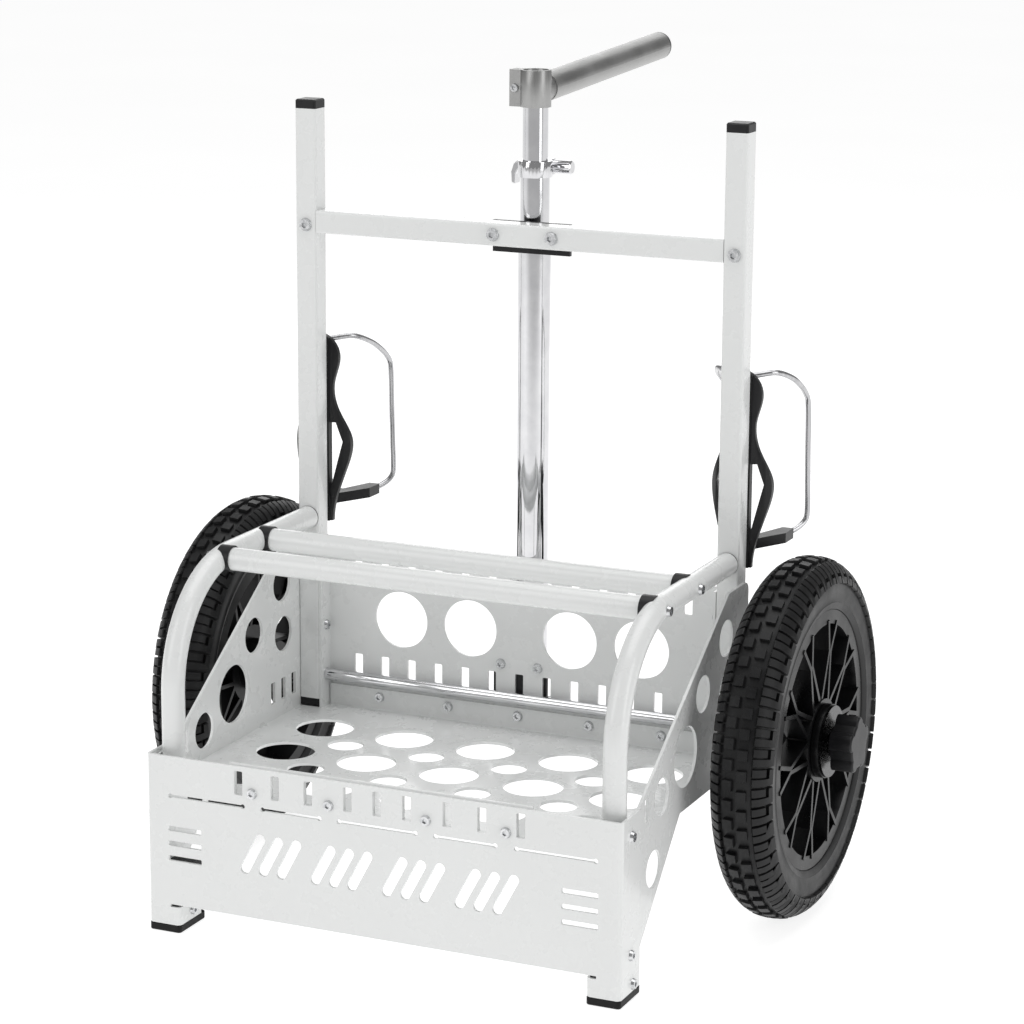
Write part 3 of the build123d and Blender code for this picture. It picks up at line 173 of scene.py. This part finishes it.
def satin_grip():
    """Bead-blasted grey aluminium: a fine even grain with worn, smoother patches."""
    mat, shader = new_material("satin_aluminium", (0.36, 0.36, 0.355), 0.38, metallic=1.0)
    coord = place(mat)
    grain = noise(mat, coord, 2400.0, 2.0, 0.6)
    worn = noise(mat, coord, 24.0, 5.0, 0.62)
    colour_between(mat, worn, shader, (0.33, 0.33, 0.325), (0.41, 0.41, 0.405))
    ramp_to(mat, worn, "Fac", shader, "Roughness", 0.33, 0.46)
    bump(mat, [(grain, 0.00006)], shader, 0.5)
    return mat


def wire():
    """Drawn aluminium wire with draw marks, a middle grey so that it shows against the white panels."""
    mat, shader = new_material("drawn_wire", (0.5, 0.5, 0.51), 0.2, metallic=1.0)
    coord = place(mat)
    marks = noise(mat, coord, 500.0, 3.0, 0.5, (1.0, 1.0, 0.05))
    colour_between(mat, marks, shader, (0.42, 0.42, 0.43), (0.54, 0.54, 0.55))
    ramp_to(mat, marks, "Fac", shader, "Roughness", 0.13, 0.28)
    bump(mat, [(marks, 0.00003)], shader, 0.4)
    return mat


def moulded(name, dark, light, rough, grain_scale, grain_depth, specular):
    """Moulded black plastic or rubber: a fine spark-eroded grain and slight sheen changes."""
    mat, shader = new_material(name, dark, rough[0], specular=specular)
    coord = place(mat)
    grain = noise(mat, coord, grain_scale, 3.0, 0.6)
    patch = noise(mat, coord, 26.0, 5.0, 0.6)
    colour_between(mat, patch, shader, dark, light)
    ramp_to(mat, patch, "Fac", shader, "Roughness", *rough)
    bump(mat, [(grain, grain_depth)], shader, 0.6)
    return mat


def tyre_rubber():
    """Tyre compound: dull black with a slightly uneven sheen and a fine moulding grain."""
    mat, shader = new_material("tyre_rubber", (0.009, 0.009, 0.0095), 0.45, specular=0.26)
    coord = place(mat)
    grain = noise(mat, coord, 900.0, 3.0, 0.6)
    patch = noise(mat, coord, 40.0, 6.0, 0.65)
    colour_between(mat, patch, shader, (0.006, 0.006, 0.0065), (0.014, 0.014, 0.0145))
    ramp_to(mat, patch, "Fac", shader, "Roughness", 0.34, 0.52)
    bump(mat, [(grain, 0.00012), (patch, 0.0002)], shader, 0.5)
    return mat


WHITE = powder_coat()
CHROME = chrome("chrome_plate", along=(1.0, 1.0, 0.03))
ROD = chrome("polished_rod", along=(0.03, 1.0, 1.0))
ZINC = zinc("bright_zinc", dark=(0.50, 0.51, 0.52), light=(0.72, 0.725, 0.735))
DARK_STEEL = zinc("dark_steel", dark=(0.028, 0.028, 0.03), light=(0.05, 0.05, 0.052))
GRIP = satin_grip()
WIRE = wire()
PLASTIC = moulded(
    "black_plastic", dark=(0.007, 0.007, 0.008), light=(0.014, 0.014, 0.015), rough=(0.30, 0.44),
    grain_scale=1500.0, grain_depth=0.00005, specular=0.28,
)
WHEEL = moulded(
    "wheel_plastic", dark=(0.003, 0.003, 0.0033), light=(0.007, 0.007, 0.0075), rough=(0.24, 0.40),
    grain_scale=1100.0, grain_depth=0.00005, specular=0.17,
)
RUBBER = moulded(
    "black_rubber", dark=(0.007, 0.007, 0.007), light=(0.014, 0.014, 0.014), rough=(0.46, 0.62),
    grain_scale=1300.0, grain_depth=0.00009, specular=0.2,
)
TYRE = tyre_rubber()

finish_of = dict.fromkeys(nodes, WHITE)
for name in nodes:
    part = name.removeprefix("left_").removeprefix("right_")
    if name.endswith("_screws") or name == "head_screw":
        finish_of[name] = ZINC
    elif name == "axle_rod":
        finish_of[name] = ROD
    elif name.startswith(("pole_outer", "pole_middle", "pole_inner", "lower_clamp", "upper_clamp")):
        finish_of[name] = CHROME
    elif part == "hub_ring":
        finish_of[name] = DARK_STEEL
    elif part == "rim":
        finish_of[name] = WHEEL
    elif part == "foot":
        finish_of[name] = RUBBER
    elif part == "tyre":
        finish_of[name] = TYRE
    elif part == "cage_hoop":
        finish_of[name] = WIRE
    elif name in ("handle_head", "handle_grip"):
        finish_of[name] = GRIP
    elif part in (
        "upright_top_caps", "upright_bottom_caps", "seat_tube_saddles", "side_tube_rings", "cage_body",
        "knob", "axle_spacers", "hub_bushes", "pole_foot_bracket", "pole_bracket", "pole_guide", "grip_plug",
    ):
        finish_of[name] = PLASTIC

# Width of the rounding that a modifier gives the edges of moulded and turned pieces, in metres.
BEVEL_OF = {
    "rim": 0.0008, "knob": 0.0006, "cage_body": 0.0009, "foot": 0.0008, "handle_head": 0.0007,
    "upper_clamp_collar": 0.0005, "lower_clamp_collar": 0.0005, "upper_clamp_lever": 0.0008,
    "lower_clamp_lever": 0.0008, "pole_bracket": 0.0006, "pole_foot_bracket": 0.0008,
}
WELD_REACH = 0.000002            # the carried-over meshes' doubled corners are joined within this
BEVEL_SEGMENTS = 2
BEVEL_ANGLE = math.radians(40)   # only edges sharper than this are rounded
for name, node in nodes.items():
    node.data.materials.clear()
    node.data.materials.append(finish_of[name])
    part = name.removeprefix("left_").removeprefix("right_")
    if part in BEVEL_OF:
        weld = node.modifiers.new("weld", "WELD")
        weld.merge_threshold = WELD_REACH
        rounding = node.modifiers.new("edges", "BEVEL")
        rounding.width = BEVEL_OF[part]
        rounding.segments = BEVEL_SEGMENTS
        rounding.limit_method = "ANGLE"
        rounding.angle_limit = BEVEL_ANGLE
        rounding.harden_normals = True


# ---------------------------------------------------------------- tyres
AXLE_Y = (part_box("left_tyre")[0].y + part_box("left_tyre")[1].y) / 2
AXLE_Z = (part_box("left_tyre")[0].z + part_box("left_tyre")[1].z) / 2
TYRE_R = (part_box("left_tyre")[1].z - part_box("left_tyre")[0].z) / 2
STEPS = 288                      # sections of the carcass round the tyre
PITCHES = 56                     # tread repeats round the tyre
TREAD_DEPTH = 0.0300             # how far in from the tyre's radius the tread's curve starts
STAGGER = 0.5                    # of a pitch, from one side of the tread to the other
BLOCK_SINK = 0.0010              # how deep a block's foot lies in the carcass
BLOCK_WALL = 0.84                # share of its height that a block's steep wall takes
BLOCK_LEAN = 0.03                # share of the way to the block's middle that the wall leans in
BLOCK_INSET = 0.08               # share of the way to the middle that the top edge lies in
EDGE_STEP = 0.14                 # longest piece of a block's edge, in the outline's own units
TREAD_CREASE = math.radians(38)  # edges sharper than this stay crisp


def carcass_profile():
    """Half section of the carcass: (offset from the centre plane, radius), bead to crown."""
    return [
        (0.0182, TYRE_R - 0.0480), (0.0182, TYRE_R - 0.0455), (0.0200, TYRE_R - 0.0448),
        (0.0216, TYRE_R - 0.0444), (0.0226, TYRE_R - 0.0425), (0.0234, TYRE_R - 0.0400),
        (0.0240, TYRE_R - 0.0385), (0.0235, TYRE_R - 0.0368), (0.0240, TYRE_R - 0.0330),
        (0.0245, TYRE_R - 0.0285), (0.0246, TYRE_R - 0.0245), (0.0241, TYRE_R - 0.0205),
        (0.0228, TYRE_R - 0.0165), (0.0206, TYRE_R - 0.0125), (0.0174, TYRE_R - 0.0090),
        (0.0130, TYRE_R - 0.0062), (0.0070, TYRE_R - 0.0046), (0.0, TYRE_R - 0.0041),
    ]


def surface_at(s):
    """Point and outward normal on the carcass's outer curve. s runs -1..1 across the tread."""
    curve = [p for p in carcass_profile() if p[1] > TYRE_R - TREAD_DEPTH]
    lengths = [0.0]
    for a, b in zip(curve, curve[1:]):
        lengths.append(lengths[-1] + math.dist(a, b))
    want = (1 - abs(s)) * lengths[-1]
    for i in range(len(curve) - 1):
        if want <= lengths[i + 1] + 1e-12:
            t = (want - lengths[i]) / (lengths[i + 1] - lengths[i])
            a, b = curve[i], curve[i + 1]
            break
    x = a[0] + (b[0] - a[0]) * t
    r = a[1] + (b[1] - a[1]) * t
    nx, nr = b[1] - a[1], -(b[0] - a[0])
    n = math.hypot(nx, nr)
    side = 1 if s >= 0 else -1
    return (side * x, r), (side * abs(nx) / n, abs(nr) / n)


def block_outlines():
    """Tread blocks of one pitch: outlines in (across the tread, along the pitch), with their height."""
    halves = [
        # shoulder: a small rectangle nested in an L
        ([(0.33, 0.05), (0.64, 0.05), (0.64, 0.46), (0.33, 0.46)], 0.0030),
        ([(0.33, 0.55), (0.71, 0.55), (0.71, 0.05), (0.84, 0.05), (0.84, 0.95), (0.33, 0.95)], 0.0030),
        # centre: raised rectangles, staggered from one side to the other
        ([(0.04, 0.16), (0.25, 0.16), (0.25, 0.70), (0.04, 0.70)], 0.0036),
    ]
    blocks = []
    for side, shift in ((1, 0.0), (-1, STAGGER)):
        for outline, height in halves:
            blocks.append(([(side * a, b + shift) for a, b in outline], height))
    return blocks


def on_tyre(across, along, lift, centre_x):
    """A tread point: across -1..1, along in pitches round the tyre, lift above the carcass."""
    (x, r), (nx, nr) = surface_at(across)
    angle = along * 2 * math.pi / PITCHES
    radius = r + nr * lift
    return (centre_x + x + nx * lift, AXLE_Y + radius * math.cos(angle), AXLE_Z + radius * math.sin(angle))


def split_edge(a, b, most):
    """Points from a towards b, b left out, no further apart than asked."""
    count = max(1, math.ceil(math.dist(a, b) / most))
    return [(a[0] + (b[0] - a[0]) * i / count, a[1] + (b[1] - a[1]) * i / count) for i in range(count)]


def towards(point, middle, share):
    """The point moved that share of the way to the middle."""
    return [a + (b - a) * share for a, b in zip(point, middle)]


def make_tyre(hand):
    """Tyre: a carcass of revolution with sidewall bands and every tread block in place."""
    box_low, box_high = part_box(f"{hand}_tyre")
    centre_x = (box_low.x + box_high.x) / 2
    mesh = bpy.data.meshes.new(f"{hand}_knobbly_tyre")
    bm = bmesh.new()
    half = carcass_profile()
    ring = half + [(-x, r) for x, r in reversed(half[:-1])]
    rings = []
    for i in range(STEPS):
        angle = 2 * math.pi * i / STEPS
        c, s = math.cos(angle), math.sin(angle)
        rings.append([bm.verts.new((centre_x + x, AXLE_Y + r * c, AXLE_Z + r * s)) for x, r in ring])
    count = len(ring)
    for i in range(STEPS):
        a, b = rings[i], rings[(i + 1) % STEPS]
        for j in range(count):
            k = (j + 1) % count
            bm.faces.new((a[j], a[k], b[k], b[j]))
    for pitch in range(PITCHES):
        for outline, height in block_outlines():
            middle = (sum(p[0] for p in outline) / len(outline), sum(p[1] for p in outline) / len(outline))
            edge = []
            for a, b in zip(outline, outline[1:] + outline[:1]):
                edge += split_edge(a, b, EDGE_STEP)
            base, shoulder, crown = [], [], []
            levels = ((base, 0.0, -BLOCK_SINK), (shoulder, BLOCK_LEAN, height * BLOCK_WALL),
                      (crown, BLOCK_INSET, height))
            for p in edge:
                for loop, share, lift in levels:
                    across, along = towards(p, middle, share)
                    loop.append(bm.verts.new(on_tyre(across, along + pitch, lift, centre_x)))
            total = len(edge)
            for i in range(total):
                k = (i + 1) % total
                bm.faces.new((base[i], base[k], shoulder[k], shoulder[i]))
                bm.faces.new((shoulder[i], shoulder[k], crown[k], crown[i]))
            bm.faces.new(crown)
            bm.faces.new(list(reversed(base)))
    bmesh.ops.triangulate(bm, faces=[f for f in bm.faces if len(f.verts) > 4])
    bmesh.ops.recalc_face_normals(bm, faces=bm.faces)
    bm.to_mesh(mesh)
    bm.free()
    mesh.materials.append(TYRE)
    for polygon in mesh.polygons:
        polygon.use_smooth = True
    tyre = bpy.data.objects.new(f"{hand}_knobbly_tyre", mesh)
    scene.collection.objects.link(tyre)
    mesh.set_sharp_from_angle(angle=TREAD_CREASE)
    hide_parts(f"{hand}_tyre")
    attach(tyre, f"{hand}_wheel")


make_tyre("left")
make_tyre("right")


# ---------------------------------------------------------------- bottle hoops
# One side of a hoop, from over the cage's head down to the ledge: across from the middle, Y, Z.
HOOP_SIDE = [
    (0.0, -0.0030, 0.466), (0.010, -0.0020, 0.466), (0.026, 0.008, 0.468), (0.034, 0.026, 0.461),
    (0.036, 0.045, 0.4505), (0.036, 0.058, 0.4415), (0.036, 0.064, 0.434), (0.036, 0.066, 0.420),
    (0.036, 0.0672, 0.390), (0.036, 0.0688, 0.360), (0.036, 0.0700, 0.334), (0.034, 0.0680, 0.3255),
    (0.029, 0.0610, 0.3200), (0.022, 0.0520, 0.3170),
]
WIRE_R = 0.0025
WIRE_SIDES = 16
CURVE_STEPS = 6                  # pieces between two points of the hoop's curve


def smooth_path(points, steps):
    """Catmull-Rom curve through the points."""
    points = [Vector(p) for p in points]
    padded = [points[0] * 2 - points[1]] + points + [points[-1] * 2 - points[-2]]
    path = []
    for a, b, c, d in zip(padded, padded[1:], padded[2:], padded[3:]):
        for i in range(steps):
            t = i / steps
            path.append(0.5 * (2 * b + (c - a) * t + (2 * a - 5 * b + 4 * c - d) * t * t
                               + (3 * b - a - 3 * c + d) * t ** 3))
    return path + [points[-1]]


def make_hoop(hand):
    """Bottle hoop: one round wire from the ledge up both sides and over behind the bottle."""
    box_low, box_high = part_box(f"{hand}_upright")
    centre_x = (box_low.x + box_high.x) / 2
    line = [(-x, y, z) for x, y, z in reversed(HOOP_SIDE[1:])] + HOOP_SIDE
    path = smooth_path([(centre_x + x, y, z) for x, y, z in line], CURVE_STEPS)
    bm = bmesh.new()
    rings = []
    across = Vector((1.0, 0.0, 0.0))
    for i, point in enumerate(path):
        along = (path[min(i + 1, len(path) - 1)] - path[max(i - 1, 0)]).normalized()
        across = (across - along * across.dot(along)).normalized()
        other = along.cross(across)
        ring = []
        for k in range(WIRE_SIDES):
            angle = 2 * math.pi * k / WIRE_SIDES
            ring.append(bm.verts.new(point + (across * math.cos(angle) + other * math.sin(angle)) * WIRE_R))
        rings.append(ring)
    for a, b in zip(rings, rings[1:]):
        for k in range(WIRE_SIDES):
            after = (k + 1) % WIRE_SIDES
            bm.faces.new((a[k], a[after], b[after], b[k]))
    bm.faces.new(list(reversed(rings[0])))
    bm.faces.new(rings[-1])
    bmesh.ops.recalc_face_normals(bm, faces=bm.faces)
    mesh = bpy.data.meshes.new(f"{hand}_wire_hoop")
    bm.to_mesh(mesh)
    bm.free()
    mesh.materials.append(WIRE)
    for polygon in mesh.polygons:
        polygon.use_smooth = len(polygon.vertices) == 4
    hoop = bpy.data.objects.new(f"{hand}_wire_hoop", mesh)
    scene.collection.objects.link(hoop)
    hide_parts(f"{hand}_cage_hoop")
    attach(hoop, "frame")


make_hoop("left")
make_hoop("right")


# ---------------------------------------------------------------- floor, light, camera
FLOOR = 40.0                     # half the floor's side
FLOOR_DROP = 0.0005              # the floor lies this far under the wheels
FLOOR_GLOW = (0.82, 0.40)        # behind the cart, and on the camera's side
GLOW_FADE = (1.2, 3.0)           # metres towards the camera over which it fades
TO_CAMERA = (0.40, -0.92, 0.0)

floor_mat, floor_shader = new_material("studio_floor", (0.5, 0.5, 0.5), 0.8, specular=0.0)
floor_shader.inputs["Emission Color"].default_value = (1.0, 1.0, 1.0, 1.0)
floor_coord = place(floor_mat)
floor_noise = noise(floor_mat, floor_coord, 1.5, 3.0, 0.5)
colour_between(floor_mat, floor_noise, floor_shader, (0.49, 0.49, 0.49), (0.51, 0.51, 0.51))
nearness = add(floor_mat, "ShaderNodeVectorMath", operation="DOT_PRODUCT")
nearness.inputs[1].default_value = TO_CAMERA
link(floor_mat, floor_coord, "Object", nearness, 0)
ramp_to(floor_mat, nearness, "Value", floor_shader, "Emission Strength", *FLOOR_GLOW, GLOW_FADE)
floor_mesh = bpy.data.meshes.new("studio_floor")
corners = [(-FLOOR, -FLOOR), (FLOOR, -FLOOR), (FLOOR, FLOOR), (-FLOOR, FLOOR)]
floor_mesh.from_pydata([(x, y, -FLOOR_DROP) for x, y in corners], [], [(0, 1, 2, 3)])
floor_mesh.materials.append(floor_mat)
floor = bpy.data.objects.new("studio_floor", floor_mesh)
scene.collection.objects.link(floor)

# Soft lights, each aimed at the middle of the cart: name, place, size, power in watts.
LIGHT_TARGET = Vector((0.0, 0.0, 0.33))
LIGHTS = [
    ("key_left", (-1.7, -2.7, 1.7), (1.6, 2.2), 21),
    ("fill_right", (2.9, -0.9, 1.3), (1.2, 2.4), 20),
    ("top_soft", (0.0, 0.1, 3.0), (2.8, 2.8), 46),
    ("rim_back", (-0.9, 2.8, 1.5), (2.0, 1.6), 16),
]
for name, place_at, size, power in LIGHTS:
    data = bpy.data.lights.new(name, "AREA")
    data.shape = "RECTANGLE"
    data.size, data.size_y = size
    data.energy = power
    lamp = bpy.data.objects.new(name, data)
    scene.collection.objects.link(lamp)
    lamp.location = place_at
    lamp.rotation_mode = "QUATERNION"
    lamp.rotation_quaternion = (LIGHT_TARGET - Vector(place_at)).to_track_quat("-Z", "Y")

world = bpy.data.worlds.new("studio_world")
scene.world = world
world.use_nodes = True
background = world.node_tree.nodes["Background"]
background.inputs["Color"].default_value = (1.0, 1.0, 1.0, 1.0)
background.inputs["Strength"].default_value = 0.30

scene.view_settings.view_transform = "Standard"
scene.view_settings.look = "None"

# The camera stands where the photograph was taken from: its place and its three axes.
CAMERA_PLACE = (1.1242, -2.5440, 0.9821)
CAMERA_RIGHT = Vector((0.91218, 0.40975, 0.00624))
CAMERA_UP = Vector((-0.09985, 0.20745, 0.97314))
CAMERA_BACK = Vector((0.39745, -0.88829, 0.23015))
camera_data = bpy.data.cameras.new("camera")
camera = bpy.data.objects.new("camera", camera_data)
scene.collection.objects.link(camera)
scene.camera = camera
camera_data.sensor_width = 36.0
camera_data.lens = 113.27
camera_data.clip_start = 0.05
camera_data.clip_end = 60.0
camera_turn = Matrix((CAMERA_RIGHT, CAMERA_UP, CAMERA_BACK)).transposed().to_4x4()
camera.matrix_world = Matrix.Translation(CAMERA_PLACE) @ camera_turn
